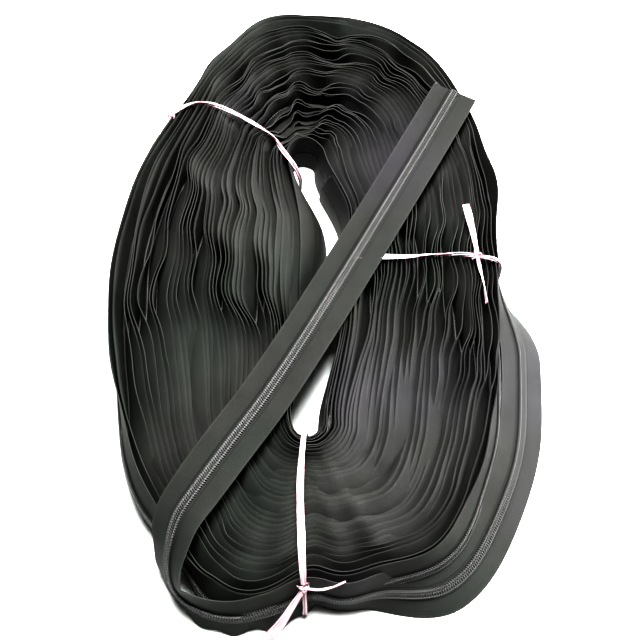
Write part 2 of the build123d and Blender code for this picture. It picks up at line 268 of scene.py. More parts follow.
def leans(a, q):
    """How far the coil lies outside the low edge, and the top edge outside the coil, in millimetres."""
    f = q / OUTER
    free = 1 - 0.85 * tie_grip(a, 0.25)
    far, right_up, right_low = bump(a, 0.0, 0.11), bump(a, 0.16, 0.06), bump(a, 0.38, 0.085)
    near, left_low, left_up = bump(a, 0.5, 0.075), bump(a, 0.63, 0.05), bump(a, 0.79, 0.075)
    top = (
        far * (4 + 7 * smooth(0.1, 0.6, f))
        + right_up * (7 - 4 * f)
        + right_low * (4.5 * (1 - smooth(0.45, 0.75, f)) - 6 * smooth(0.80, 0.97, f))
        + near * (5.5 * (1 - smooth(0.30, 0.46, f)) - 6.5 * smooth(0.48, 0.60, f))
        - left_low * 9 * smooth(0.2, 0.7, f)
        + left_up * (6 - 3 * f + 6 * (1 - smooth(1.6, 3.5, q)))
    )
    low = (
        far * (2 + 5 * smooth(0.3, 1.0, f))
        + right_up * 2
        - right_low * 4 * smooth(0.5, 1.0, f)
        - near * (1 + 4 * smooth(0.5, 0.9, f))
        - left_low * 3 * smooth(0.3, 0.9, f)
        + left_up * (4 - 2 * f)
    )
    return low * free, top * free


def outline(a, q, y):
    """Extra distance out: the pack's outer shape, and the hole's own narrowing."""
    f = q / OUTER
    outer = (
        12 * bump(a, 0.555, 0.03)
        - 10 * bump(a, 0.472, 0.026)
        - 14 * bump(a, 0.512, 0.018)
        - 4 * bump(a, 0.41, 0.03)
        - 8 * smooth(0.18, 0.25, a) * (1 - smooth(0.38, 0.45, a))
        - 5 * bump(a, 0.11, 0.05)
        + 3 * bump(a, 0.74, 0.09)
        + 7 * bump(a, 0.635, 0.035)
        + 8 * bump(a, 0.955, 0.035)
    )
    hole = np.where(a < 0.5, -1.0, -1.0 - 4 * bump(a, 0.775, 0.05) + 2 * bump(a, 0.66, 0.07))
    return outer * smooth(0.05, 1.0, f) + hole * (1 - smooth(0, 0.25, f)) * (1 - smooth(85, 104, np.abs(y)))


def sideways(q, y):
    """The hole and the turns round it bend to the left towards both ends."""
    drift = -15 * smooth(45, 100, y) - 12 * smooth(20, 100, -y) + 2 * np.exp(-(((y - 35) / 25) ** 2))
    return drift * (1 - smooth(2, 26, q))


def loose_turn(q):
    """Where the outermost turn sags off the pack, on the near right, and how far round that lasts."""
    a = q % 1.0
    return smooth(33.82, 34.1, q) * smooth(0.255, 0.31, a) * (1 - smooth(0.445, 0.485, a))


def section(q):
    """The chain's cross-section at winding position q: points at its low edge, coil and top edge."""
    a = q % 1.0
    mid_c = look(MID_T, a, q)
    slack = loose_turn(q)
    lean_low, lean_top = leans(a, q)
    base, normal = oval(mid_c, a)
    pitch = np.where(a < 0.5, RIGHT_PITCH, LEFT_PITCH)
    pitch = pitch + (END_PITCH - pitch) * np.abs(normal[:, 1])
    lower = (mid_c - look(LOW_T, a, q)) * pitch + lean_low
    upper = (look(TOP_T, a, q) - mid_c) * pitch + lean_top
    lower = lower + (SAG_LEAN - lower) * slack
    upper = upper + (SAG_LEAN - upper) * slack
    # Stretched edges ruffle where nothing holds them.
    lower = lower + 1.6 * smooth(33.5, 34.0, q) * flutter(a, q + 9.0)
    upper = upper + (1.2 * smooth(28, 34, q) + 1.0 * slack) * flutter(a, 0.35 * q)
    lower = MOST_LEAN * np.tanh(lower / MOST_LEAN)
    upper = MOST_LEAN * np.tanh(upper / MOST_LEAN)
    d_mid = outline(a, q, base[:, 1]) + SAG_REACH * slack * (1 - 0.25 * smooth(0.36, 0.44, a))
    d_mid = d_mid + 0.5 * (lower - upper) * 0.6
    raised = REST_HEIGHT + 1.6 * np.clip(lift_wave(a, q), 0, 1.2) * (1 - slack)
    z_mid = raised + np.sqrt(CHAIN_HALF**2 - lower**2)
    z_top = z_mid + np.sqrt(CHAIN_HALF**2 - upper**2)
    shift = np.stack([sideways(q, base[:, 1]), 0 * a], -1)
    rows = []
    for d, z in ((d_mid - lower, raised), (d_mid, z_mid), (d_mid + upper, z_top)):
        xy = base + normal * d[:, None] + shift + HOLE
        rows.append(np.column_stack([xy, z]))
    return rows


def winding_stations(start, end, step):
    """Winding positions at even distances along the chain."""
    q = np.arange(start, end, 0.001)
    a = q % 1.0
    p, _ = oval(look(MID_T, a, q), a)
    run = np.concatenate([[0], np.cumsum(np.linalg.norm(np.diff(p, axis=0), axis=1))])
    count = int(run[-1] / step)
    return np.interp(np.linspace(0, run[-1], count + 1), run, q)


def across(low, mid, top, v):
    """Points across the chain for v from -1 at the low edge to 1 at the top edge."""
    v = np.asarray(v)[None, :, None]
    return low[:, None] * (v * v - v) / 2 + mid[:, None] * (1 - v * v) + top[:, None] * (v * v + v) / 2


# ---------------------------------------------------------------- mesh builders
def add_mesh(name, verts, faces, uvs, smooth_faces=True):
    """verts in millimetres; faces is an array of quads; uvs one pair per vertex, in metres."""
    mesh = bpy.data.meshes.new(name)
    verts = np.asarray(verts, float) * MM
    faces = np.asarray(faces, np.int32)
    mesh.vertices.add(len(verts))
    mesh.vertices.foreach_set("co", verts.astype(np.float32).ravel())
    mesh.loops.add(faces.size)
    mesh.loops.foreach_set("vertex_index", faces.ravel())
    mesh.polygons.add(len(faces))
    mesh.polygons.foreach_set("loop_start", np.arange(0, faces.size, faces.shape[1], dtype=np.int32))
    mesh.polygons.foreach_set("loop_total", np.full(len(faces), faces.shape[1], np.int32))
    mesh.update(calc_edges=True)
    layer = mesh.uv_layers.new(name="Strip")
    layer.data.foreach_set("uv", np.asarray(uvs, np.float32)[faces.ravel()].ravel())
    smooth_faces = np.broadcast_to(smooth_faces, (len(faces),)).copy()
    mesh.polygons.foreach_set("use_smooth", smooth_faces)
    edge_of = np.empty(faces.size, np.int32)
    mesh.loops.foreach_get("edge_index", edge_of)
    sharp = np.zeros(len(mesh.edges), bool)
    sharp[edge_of[np.repeat(~smooth_faces, faces.shape[1])]] = True
    mesh.edges.foreach_set("use_edge_sharp", sharp)
    mesh.validate()
    obj = bpy.data.objects.new(name, mesh)
    bpy.context.scene.collection.objects.link(obj)
    return obj


def grid_normals(grid):
    """Unit normals of a surface given as a grid of points."""
    along = np.gradient(grid, axis=0)
    wide = np.gradient(grid, axis=1)
    return unit(np.cross(wide, along))


def closed_strip(grid, normals, thick, run, v):
    """A thin closed shell round a grid of points, thick millimetres in all."""
    n, k, _ = grid.shape
    top = grid + normals * thick / 2
    low = grid - normals * thick / 2
    ring = np.concatenate([top, low[:, ::-1]], 1)
    m = 2 * k
    verts = ring.reshape(-1, 3)
    i = np.arange(n - 1)[:, None] * m
    j = np.arange(m)[None, :]
    j2 = (j + 1) % m
    faces = np.stack([i + j, i + j2, i + m + j2, i + m + j], -1).reshape(-1, 4)
    ends = []
    for base in (0, (n - 1) * m):
        for c in range(k - 1):
            quad = [base + c, base + c + 1, base + m - 2 - c, base + m - 1 - c]
            ends.append(quad[::-1] if base == 0 else quad)
    faces = np.concatenate([faces, np.array(ends)])
    smooth_faces = np.tile((np.arange(m) != k - 1) & (np.arange(m) != m - 1), n - 1)
    smooth_faces = np.concatenate([smooth_faces, np.zeros(len(ends), bool)])
    vv = np.concatenate([v, v[::-1]])
    uv = np.stack(np.broadcast_arrays(run[:, None] * MM, vv[None, :] * MM), -1).reshape(-1, 2)
    return verts, faces[:, ::-1], uv, smooth_faces


def tube(points, radius, sides, guide):
    """A closed tube along points. guide gives a direction that is never along the tube."""
    tangent = unit(np.gradient(points, axis=0))
    one = unit(guide - (guide * tangent).sum(-1, keepdims=True) * tangent)
    two = np.cross(tangent, one)
    angle = np.arange(sides) * 2 * math.pi / sides
    radius = np.broadcast_to(np.asarray(radius, float), (len(points),))
    ring = points[:, None] + radius[:, None, None] * (
        np.cos(angle)[None, :, None] * one[:, None] + np.sin(angle)[None, :, None] * two[:, None]
    )
    n = len(points)
    i = np.arange(n - 1)[:, None] * sides
    j = np.arange(sides)[None, :]
    j2 = (j + 1) % sides
    faces = np.stack([i + j, i + j2, i + sides + j2, i + sides + j], -1).reshape(-1, 4)
    verts = ring.reshape(-1, 3)
    caps = []
    for base, end in ((0, points[0]), ((n - 1) * sides, points[-1])):
        verts = np.vstack([verts, end])
        centre = len(verts) - 1
        caps += [[base + s, base + (s + 1) % sides, centre] for s in range(sides)]
    return verts, faces, caps


def mesh_tube(name, points, radius, sides, guide):
    verts, faces, caps = tube(points, radius, sides, guide)
    mesh = bpy.data.meshes.new(name)
    mesh.from_pydata((verts * MM).tolist(), [], faces.tolist() + caps)
    mesh.polygons.foreach_set("use_smooth", np.full(len(mesh.polygons), True))
    mesh.update()
    obj = bpy.data.objects.new(name, mesh)
    bpy.context.scene.collection.objects.link(obj)
    return obj


class Line:
    """The chain as rows of low edge, coil and top edge points, with distances along the coil."""

    def __init__(self, low, mid, top):
        self.low, self.mid, self.top = low, mid, top
        self.run = np.concatenate([[0], np.cumsum(np.linalg.norm(np.diff(mid, axis=0), axis=1))])
        inner = across(low, mid, top, np.array([-0.15, 0.0, 0.15]))
        self.wide = unit(inner[:, 2] - inner[:, 0])
        self.along = unit(np.gradient(mid, axis=0))
        self.out = unit(np.cross(self.wide, self.along))

    def table(self, rows, s):
        return np.stack([np.interp(s, self.run, rows[:, i]) for i in range(3)], -1)

    def at(self, s, lateral, height):
        centre, wide, out = (self.table(rows, s) for rows in (self.mid, self.wide, self.out))
        return centre + wide * lateral[:, None] + out * height[:, None]


class Piece:
    """A stretch of a line between two of its stations."""

    def __init__(self, line, first, last):
        self.line, self.first, self.last = line, first, last
        self.run = line.run[first:last]

    def tape(self, name, side):
        """side -1 is the left tape, +1 the right one."""
        edge = TAPE_EDGE / CHAIN_HALF
        v = side * np.array([edge, 0.2, 0.42, 0.68, 0.9, 1.0])
        if side < 0:
            v = v[::-1]
        line = self.line
        grid = across(line.low, line.mid, line.top, v)
        part = slice(self.first, self.last)
        strip = closed_strip(grid[part], grid_normals(grid)[part], TAPE_THICK, self.run, v * CHAIN_HALF)
        return add_mesh(name, *strip)

    def loops(self):
        """First and last whole coil pitch that belong to this piece, counted along the line."""
        return math.ceil(self.run[0] / COIL_PITCH), math.ceil(self.run[-1] / COIL_PITCH)

    def coil(self, name, side, steps=12, sides=5):
        """Coil loops: monofilament wound as flattened loops whose heads meet in the middle."""
        first, last = self.loops()
        phi = np.linspace(0, 2 * math.pi * (last - first), (last - first) * steps + 1)
        s = COIL_PITCH * (first + phi / (2 * math.pi) + (0.0 if side > 0 else 0.5))
        s = np.clip(s, self.line.run[0], self.line.run[-1])
        middle = (COIL_ROOT - HEAD_REACH) / 2
        half = (COIL_ROOT + HEAD_REACH) / 2 - WIRE * 0.6
        shape = np.cos(phi)
        lateral = middle - half * np.sign(shape) * np.abs(shape) ** 0.7
        height = LOOP_HEIGHT + LOOP_RISE * np.sin(phi)
        points = self.line.at(s, side * lateral, height)
        return mesh_tube(name, points, WIRE, sides, self.line.table(self.line.along, s))

    def coil_bar(self, name, side):
        """A plain ribbed bar in the space of the loops, for turns whose coil is hidden."""
        line, part = self.line, slice(self.first, self.last)
        lateral = side * np.array([0.15, 0.15, 0.7, 2.4, 3.0, 3.0])
        height = np.array([0.4, 1.3, 1.75, 1.75, 1.3, 0.4])
        grid = line.mid[part, None] + line.wide[part, None] * lateral[None, :, None]
        grid = grid + line.out[part, None] * height[None, :, None]
        n, k, _ = grid.shape
        i = np.arange(n - 1)[:, None] * k
        j = np.arange(k)[None, :]
        j2 = (j + 1) % k
        faces = np.stack([i + j, i + j2, i + k + j2, i + k + j], -1).reshape(-1, 4)
        last = (n - 1) * k
        cap = np.array([[0, 1, 4, 5], [1, 2, 3, 4]])
        faces = np.concatenate([faces, cap, cap + last])
        uv = np.stack(np.broadcast_arrays(self.run[:, None] * MM, (lateral * MM)[None, :]), -1).reshape(-1, 2)
        return add_mesh(name, grid.reshape(-1, 3), faces, uv)

    def stitching(self, name, side):
        """Two rows of lock stitches that hold the coil down on the tape."""
        first, last = self.loops()
        s = np.linspace(first, last, (last - first) * 6 + 1) * COIL_PITCH
        s = np.clip(s, self.line.run[0], self.line.run[-1])
        phase = 2 * math.pi * s / COIL_PITCH
        lateral = side * (STITCH_OUT + 0.22 * np.sin(phase))
        points = self.line.at(s, lateral, STITCH_HEIGHT + 0.16 * np.cos(phase))
        return mesh_tube(name, points, THREAD_RADIUS, 4, self.line.table(self.line.wide, s))

    def core_cord(self, name, side):
        """The filler cord that runs inside the coil's loops."""
        first, last = self.loops()
        s = np.clip(np.arange(first, last + 1) * COIL_PITCH, self.line.run[0], self.line.run[-1])
        points = self.line.at(s, side * (CORD_OUT + 0 * s), CORD_HEIGHT + 0 * s)
        return mesh_tube(name, points, CORD_RADIUS, 6, self.line.table(self.line.wide, s))


# ---------------------------------------------------------------- the wound chain and its free end
def spline(keys, count):
    """A smooth curve through keyed rows, spaced evenly by distance over its first three columns."""
    keys = np.asarray(keys, float)
    t = np.concatenate([[0], np.cumsum(np.sqrt(np.linalg.norm(np.diff(keys[:, :3], axis=0), axis=1)))])
    slope = np.gradient(keys, t, axis=0)
    fine = np.linspace(0, t[-1], 4000)
    i = np.clip(np.searchsorted(t, fine, side="right") - 1, 0, len(t) - 2)
    h = (t[i + 1] - t[i])[:, None]
    u = ((fine - t[i])[:, None]) / h
    curve = (
        (2 * u**3 - 3 * u**2 + 1) * keys[i] + (u**3 - 2 * u**2 + u) * h * slope[i]
        + (3 * u**2 - 2 * u**3) * keys[i + 1] + (u**3 - u**2) * h * slope[i + 1]
    )
    run = np.concatenate([[0], np.cumsum(np.linalg.norm(np.diff(curve[:, :3], axis=0), axis=1))])
    want = np.linspace(0, run[-1], count)
    return np.stack([np.interp(want, run, curve[:, c]) for c in range(keys.shape[1])], -1)


# Winding positions, in turns: where the chain starts and ends, and where its pieces are divided.
START_Q = 0.15
HALFWAY_Q = 19.15
LAST_TURNS_Q = 31.0
END_Q = OUTER + 0.002
q_wound = winding_stations(START_Q, END_Q, 3.0)
wound_low, wound_mid, wound_top = section(q_wound)


def free_end_rows():
    """The free end: it leaves the outermost turn at the near left, climbs over the rim, and lies flat
    across the hank. Keys are x, y, z from the hole's centre, then the roll from upright to flat."""
    start_low, start_mid, start_top = (row[-1] for row in (wound_low, wound_mid, wound_top))
    before = wound_mid[-6]
    roll = math.degrees(math.atan2(start_top[1] - start_low[1], start_top[2] - start_low[2]))
    hole = np.array([HOLE[0], HOLE[1], 0])
    keys = [
        [*(before - hole), roll], [*(start_mid - hole), roll],
        [-12.5, -199.8, 16.0, 24], [-32, -208, 15.2, 26], [-54, -212, 14.8, 24], [-73, -207.5, 15.0, 17],
        [-87, -197, 17.8, 9], [-91, -185, 25.5, 28], [-89.5, -172, 32.6, 51], [-85.5, -157.5, 35.8, 72],
        [-75.5, -141, 36.6, 84], [-60, -117.5, 36.4, 90], [-38.2, -85.7, 36.2, 91], [-16.1, -49.1, 35.9, 91],
        [15.4, 6.7, 35.9, 90], [42.3, 55.4, 36.2, 89], [71.5, 108.8, 36.5, 89], [89.5, 142.5, 36.8, 88],
    ]
    rows = spline(keys, 340)
    centre = rows[:, :3] + [HOLE[0], HOLE[1], 0]
    along = unit(np.gradient(centre, axis=0))
    level = unit(np.cross(along, [0, 0, 1]))
    angle = np.radians(rows[:, 3])[:, None]
    wide = np.cos(angle) * [0, 0, 1] + np.sin(angle) * level
    wide = unit(wide - (wide * along).sum(-1, keepdims=True) * along)
    run = np.concatenate([[0], np.cumsum(np.linalg.norm(np.diff(centre, axis=0), axis=1))])
    wander = 0.5 * np.sin(run / 23) + 0.4 * np.sin(run / 61 + 1)
    dish = np.cross(wide, along)
    ruffle = 3.0 * np.sin(run / 4.2) * np.sin(run / 13 + 0.6) * (1 - smooth(75, 105, run))
    low = centre - wide * CHAIN_HALF + dish * (0.4 * wander + ruffle)[:, None]
    top = centre + wide * CHAIN_HALF - dish * (0.5 * wander)[:, None]
    first = int(np.searchsorted(run, np.linalg.norm(start_mid - before)))
    low, centre, top, run = low[first:], centre[first:], top[first:], run[first:] - run[first]
    fade = (1 - smooth(0, 25, run))[:, None]
    low = low + (start_low - low[0]) * fade
    # The low edge stays high enough that no part of the strip sinks into the surface.
    lift = np.where(run > 2, LOWEST_EDGE, low[0, 2])
    low[:, 2] = np.maximum(low[:, 2], lift)
    return low, centre + (start_mid - centre[0]) * fade, top + (start_top - top[0]) * fade


def tape_group(chain, word, real_coil):
    """Both tapes of a stretch with their coils, and with their stitching where the coil is shown in full."""
    for side, hand in ((-1, "left"), (1, "right")):
        tape = chain.tape(f"{word}_{hand}_tape", side)
        tape.data.materials.append(tape_mat)
        build = chain.coil if real_coil else chain.coil_bar
        coil = build(f"{word}_{hand}_coil", side)
        coil.data.materials.append(coil_mat if real_coil else ribbed_mat)
        thread = chain.stitching(f"{word}_{hand}_stitching", side) if real_coil else None
        if thread:
            thread.data.materials.append(thread_mat)
        yield hand, tape, coil, thread


def node_material(name, rough, sheen=0.0):
    m = bpy.data.materials.new(name)
    m.use_nodes = True
    nodes, links = m.node_tree.nodes, m.node_tree.links
    shader = nodes["Principled BSDF"]
    shader.inputs["Roughness"].default_value = rough
    shader.inputs["Sheen Weight"].default_value = sheen
    return m, nodes, links, shader


def ramp(nodes, links, source, stops):
    node = nodes.new("ShaderNodeValToRGB")
    while len(node.color_ramp.elements) > len(stops):
        node.color_ramp.elements.remove(node.color_ramp.elements[-1])
    while len(node.color_ramp.elements) < len(stops):
        node.color_ramp.elements.new(0.5)
    for element, (place, colour) in zip(node.color_ramp.elements, stops):
        element.position = place
        element.color = (*colour, 1)
    links.new(source, node.inputs["Fac"])
    return node.outputs["Color"]


def maths(nodes, links, kind, one, two=None):
    node = nodes.new("ShaderNodeMath")
    node.operation = kind
    for socket, value in zip(node.inputs, (one, two)):
        if value is None:
            continue
        if isinstance(value, (int, float)):
            socket.default_value = value
        else:
            links.new(value, socket)
    return node.outputs[0]


def mix_colour(nodes, links, kind, fac, one, two):
    node = nodes.new("ShaderNodeMix")
    node.data_type = "RGBA"
    node.blend_type = kind
    for socket, value in ((node.inputs[0], fac), (node.inputs[6], one), (node.inputs[7], two)):
        if isinstance(value, (int, float)):
            socket.default_value = value
        elif isinstance(value, tuple):
            socket.default_value = (*value, 1)
        else:
            links.new(value, socket)
    return node.outputs[2]


def noise(nodes, links, vector, scale, detail=3.0):
    node = nodes.new("ShaderNodeTexNoise")
    node.inputs["Scale"].default_value = scale
    node.inputs["Detail"].default_value = detail
    links.new(vector, node.inputs["Vector"])
    return node.outputs["Fac"]


def bump_into(nodes, links, shader, height, distance, strength=1.0):
    node = nodes.new("ShaderNodeBump")
    node.inputs["Distance"].default_value = distance
    node.inputs["Strength"].default_value = strength
    links.new(height, node.inputs["Height"])
    links.new(node.outputs["Normal"], shader.inputs["Normal"])


def tape_cloth():
    """Charcoal polyester tape: fine ribs across, warp lines along, a channel beside the coil darkened as
    painted shade, and a paler selvedge; the dye drifts between cool violet and green from place to place."""
    m, nodes, links, shader = node_material("tape_cloth", 0.62)
    shader.inputs["Specular IOR Level"].default_value = 0.16
    place = nodes.new("ShaderNodeTexCoord").outputs["Object"]
    uv = nodes.new("ShaderNodeUVMap")
    uv.uv_map = "Strip"
    split = nodes.new("ShaderNodeSeparateXYZ")
    links.new(uv.outputs["UV"], split.inputs[0])
    along, wide = split.outputs[0], split.outputs[1]
    wide = maths(nodes, links, "ABSOLUTE", wide)
    weft = maths(nodes, links, "SINE", maths(nodes, links, "MULTIPLY", along, 2 * math.pi / WEFT_PITCH))
    warp = maths(nodes, links, "SINE", maths(nodes, links, "MULTIPLY", wide, 2 * math.pi / WARP_PITCH))
    weave = maths(nodes, links, "MULTIPLY", weft, warp)
    channel = maths(nodes, links, "COMPARE", wide, CHANNEL_PLACE)
    channel.node.inputs[2].default_value = CHANNEL_HALF
    selvedge = maths(nodes, links, "GREATER_THAN", wide, SELVEDGE_START)
    drift = noise(nodes, links, place, 9.0, 2.0)
    blotch = noise(nodes, links, place, 60.0, 4.0)
    fuzz = noise(nodes, links, place, 900.0, 2.0)
    greenish, neutral, violet = (0.0150, 0.0172, 0.0148), (0.0165, 0.0168, 0.0152), (0.0200, 0.0190, 0.0210)
    colour = ramp(nodes, links, drift, [(0.34, greenish), (0.54, neutral), (0.72, violet)])
    shade = maths(nodes, links, "MULTIPLY_ADD", blotch, 0.5)
    shade.node.inputs[2].default_value = 0.75
    grain = maths(nodes, links, "MULTIPLY_ADD", weave, 0.22)
    grain.node.inputs[2].default_value = 1.0
    shade = maths(nodes, links, "MULTIPLY", shade, grain)
    # Painted shade: the colour is darkened in the channel's groove.
    channel_shade = maths(nodes, links, "SUBTRACT", 1.0, maths(nodes, links, "MULTIPLY", channel, 0.45))
    shade = maths(nodes, links, "MULTIPLY", shade, channel_shade)
    lighter = maths(nodes, links, "ADD", 1.0, maths(nodes, links, "MULTIPLY", selvedge, 0.30))
    shade = maths(nodes, links, "MULTIPLY", shade, lighter)
    colour = mix_colour(nodes, links, "MULTIPLY", 1.0, colour, shade)
    links.new(colour, shader.inputs["Base Color"])
    hairs = maths(nodes, links, "MULTIPLY", fuzz, 0.8)
    height = maths(nodes, links, "ADD", maths(nodes, links, "MULTIPLY", weave, 0.5), hairs)
    height = maths(nodes, links, "SUBTRACT", height, maths(nodes, links, "MULTIPLY", channel, 1.5))
    bump_into(nodes, links, shader, height, 0.0002, 0.8)
    return m


def coil_nylon(name, ribs):
    """Dark nylon monofilament: glossier than the tape, with lighter worn spots; the ribbed kind has painted
    shade in the valleys between its loops.
    """
    m, nodes, links, shader = node_material(name, 0.38)
    place = nodes.new("ShaderNodeTexCoord").outputs["Object"]
    spots = noise(nodes, links, place, 700.0, 3.0)
    colour = ramp(nodes, links, spots, [(0.3, (0.030, 0.030, 0.029)), (0.7, (0.055, 0.055, 0.053))])
    height = spots
    if ribs:
        uv = nodes.new("ShaderNodeUVMap")
        uv.uv_map = "Strip"
        split = nodes.new("ShaderNodeSeparateXYZ")
        links.new(uv.outputs["UV"], split.inputs[0])
        rib = maths(nodes, links, "MULTIPLY", split.outputs[0], 2 * math.pi * 1000 / COIL_PITCH)
        rib = maths(nodes, links, "SINE", rib)
        rib = maths(nodes, links, "MULTIPLY_ADD", rib, 0.5)
        rib.node.inputs[2].default_value = 0.5
        # Painted shade: the valleys between the ribs are darkened, standing in for the shadowed gaps between
        # loops.
        loop_gap_shade = ramp(nodes, links, rib, [(0.25, (0.15, 0.15, 0.15)), (0.6, (1, 1, 1))])
        colour = mix_colour(nodes, links, "MULTIPLY", 1.0, colour, loop_gap_shade)
        height = maths(nodes, links, "ADD", maths(nodes, links, "MULTIPLY", rib, 3.0), spots)
    links.new(colour, shader.inputs["Base Color"])
    wear = ramp(nodes, links, spots, [(0.2, (0.30, 0.30, 0.30)), (0.8, (0.52, 0.52, 0.52))])
    links.new(wear, shader.inputs["Roughness"])
    bump_into(nodes, links, shader, height, 0.0002, 0.5)
    return m


def yarn(name, dark, light, scale):
    """Dull spun thread, mottled between two greys."""
    m, nodes, links, shader = node_material(name, 0.75, 0.3)
    place = nodes.new("ShaderNodeTexCoord").outputs["Object"]
    twist = noise(nodes, links, place, scale, 3.0)
    links.new(ramp(nodes, links, twist, [(0.3, dark), (0.7, light)]), shader.inputs["Base Color"])
    bump_into(nodes, links, shader, twist, 0.0001, 0.8)
    return m


def split_film():
    """Pale pink split-film ribbon: glossy, fibrous along its length, creased, with painted shade in the
    hollows of its creases, and lets a little light in.
    """
    m, nodes, links, shader = node_material("split_film", 0.38)
    shader.inputs["Subsurface Weight"].default_value = 0.25
    shader.inputs["Subsurface Radius"].default_value = (0.004, 0.002, 0.002)
    shader.inputs["Coat Weight"].default_value = 0.15
    uv = nodes.new("ShaderNodeUVMap")
    uv.uv_map = "Strip"
    stretch = nodes.new("ShaderNodeMapping")
    stretch.inputs["Scale"].default_value = (90.0, 2600.0, 1.0)
    links.new(uv.outputs["UV"], stretch.inputs["Vector"])
    fibre = noise(nodes, links, stretch.outputs["Vector"], 1.0, 4.0)
    place = nodes.new("ShaderNodeTexCoord").outputs["Object"]
    crease = noise(nodes, links, place, 160.0, 3.0)
    deep, middle_pink, pale = (0.36, 0.15, 0.19), (0.47, 0.33, 0.36), (0.54, 0.47, 0.49)
    fibres = ramp(nodes, links, fibre, [(0.30, deep), (0.45, middle_pink), (0.62, pale)])
    # Painted shade: the film is darkened and made pinker in the hollows of the crease bumps.
    crease_shade = ramp(nodes, links, crease, [(0.35, (0.80, 0.55, 0.62)), (0.6, (1, 1, 1))])
    colour = mix_colour(nodes, links, "MULTIPLY", 0.35, fibres, crease_shade)
    links.new(colour, shader.inputs["Base Color"])
    height = maths(nodes, links, "ADD", maths(nodes, links, "MULTIPLY", fibre, 1.5), crease)
    bump_into(nodes, links, shader, height, 0.0004, 0.8)
    return m


tape_mat = tape_cloth()
coil_mat = coil_nylon("coil_nylon", False)
ribbed_mat = coil_nylon("coil_nylon_close", True)
thread_mat = yarn("stitch_thread", (0.030, 0.030, 0.030), (0.065, 0.065, 0.064), 1500.0)
cord_mat = yarn("core_cord", (0.10, 0.10, 0.10), (0.30, 0.30, 0.29), 900.0)
loose_mat = yarn("loose_thread", (0.03, 0.03, 0.03), (0.08, 0.08, 0.08), 1500.0)
film_mat = split_film()

wound_rows = (wound_low, wound_mid, wound_top)
chain = Line(*(np.vstack([wound, free[1:]]) for wound, free in zip(wound_rows, free_end_rows())))
corner_start = len(q_wound) - 1
# Distances past the fold at which the corner ends and the upper span starts.
LEAVE_HANK, UPPER_SPAN = -14, 95
# The corner takes at least this many stations, and the climb at least this many millimetres.
CORNER_STATIONS, SHORTEST_CLIMB = 22, 30
past_fold = (chain.mid - FOLD) @ ALONG
beyond = np.arange(len(chain.run)) > corner_start + CORNER_STATIONS
halfway = int(np.searchsorted(q_wound, HALFWAY_Q))
split = int(np.searchsorted(q_wound, LAST_TURNS_Q))
later = int(np.searchsorted(q_wound, 0.5 * (LAST_TURNS_Q + OUTER)))
leave = int(np.argmax(beyond & (past_fold < LEAVE_HANK)))
climbed = chain.run > chain.run[leave] + SHORTEST_CLIMB
middle = int(np.argmax(beyond & climbed & (past_fold > UPPER_SPAN)))


def place_group(chain, word, real_coil, nodes, mover):
    """Give each of a stretch's pieces to its mover (the hank's pieces go on the hank body) and hide the CAD
    solids that each one stands for.
    """
    for hand, tape, coil, thread in tape_group(chain, word, real_coil):
        pieces = [(tape, "tape"), (coil, "coil")] + ([(thread, "stitching")] if thread else [])
        for obj, kind in pieces:
            mover(obj)
            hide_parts(*nodes(hand, kind))
        yield hand, tape


def cad_wound(hand, kind):
    return [f"{hand}_coil"] if kind in ("coil", "stitching") else [f"{hand}_tape"]


def cad_lower(hand, kind):
    if kind == "stitching":
        return [f"lift_span_{hand}_stitching"]
    return [f"fold_{hand}_{kind}", f"lift_span_{hand}_{kind}"]


def cad_upper(hand, kind):
    return [f"tip_span_{hand}_{kind}"]


def on_hank(obj):
    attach(obj, "hank")


def over_fold(obj):
    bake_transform(obj)


def over_curl(obj):
    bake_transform(obj)


STRETCHES = [
    ("inner_turns", 0, halfway + 1, False, cad_wound, on_hank, "folded"),
    ("outer_turns", halfway, split + 1, False, cad_wound, on_hank, "folded"),
    ("last_turns", split, later + 1, True, cad_wound, on_hank, "folded"),
    ("outermost_turns", later, corner_start + 1, True, cad_wound, on_hank, "folded"),
    ("corner", corner_start, leave + 1, True, cad_wound, on_hank, "folded"),
    ("climbing", leave, middle + 1, True, cad_lower, over_fold, "laid"),
    ("lying", middle, len(chain.run), True, cad_upper, over_curl, "laid"),
]
for word, first, last, real_coil, nodes, mover, held in STRETCHES:
    piece = Piece(chain, first, last)
    for hand, tape in place_group(piece, word, real_coil, nodes, mover):
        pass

CORD_STRETCHES = [
    ("climbing", leave, middle + 1, "lift_span", over_fold),
    ("lying", middle, len(chain.run), "tip_span", over_curl),
]
for word, first, last, span, mover in CORD_STRETCHES:
    piece = Piece(chain, first, last)
    for side, hand in ((-1, "left"), (1, "right")):
        cord = piece.core_cord(f"{word}_{hand}_core_cord", side)
        cord.data.materials.append(cord_mat)
        mover(cord)
        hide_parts(f"{span}_{hand}_core_cord")


# ---------------------------------------------------------------- frayed ends
def fray(name, place, heading, spread, count, longest, material):
    """Short fibres round one place, as one mesh."""
    verts, faces, used = [], [], 0
    for _ in range(count):
        t = np.linspace(0, 1, 9)[:, None]
        start = place + RNG.normal(0, 1, 3) * spread
        way = unit(np.asarray(heading) + RNG.normal(0, 0.45, 3))
        curl = RNG.normal(0, 0.35, 3)
        length = RNG.uniform(0.35, 1.0) * longest
        points = start + way * t * length + curl * (t * t) * length * 0.8
        guide = np.array([0.3, 0.2, 1.0]) + 0 * points
        v, f, caps = tube(points, FIBRE_RADIUS * (1 - 0.4 * t[:, 0]), 4, guide)
        faces += (f + used).tolist() + [[i + used for i in c] for c in caps]
        verts.append(v)
        used += len(v)
    mesh = bpy.data.meshes.new(name)
    verts = np.vstack(verts)
    # The lowest fibres lie on the surface.
    verts[:, 2] = np.maximum(verts[:, 2], FIBRE_HEIGHT + 0.02 * (verts[:, 2] % 1.0))
    mesh.from_pydata((verts * MM).tolist(), [], faces)
    mesh.update()
    obj = bpy.data.objects.new(name, mesh)
    bpy.context.scene.collection.objects.link(obj)
    obj.data.materials.append(material)
    return obj


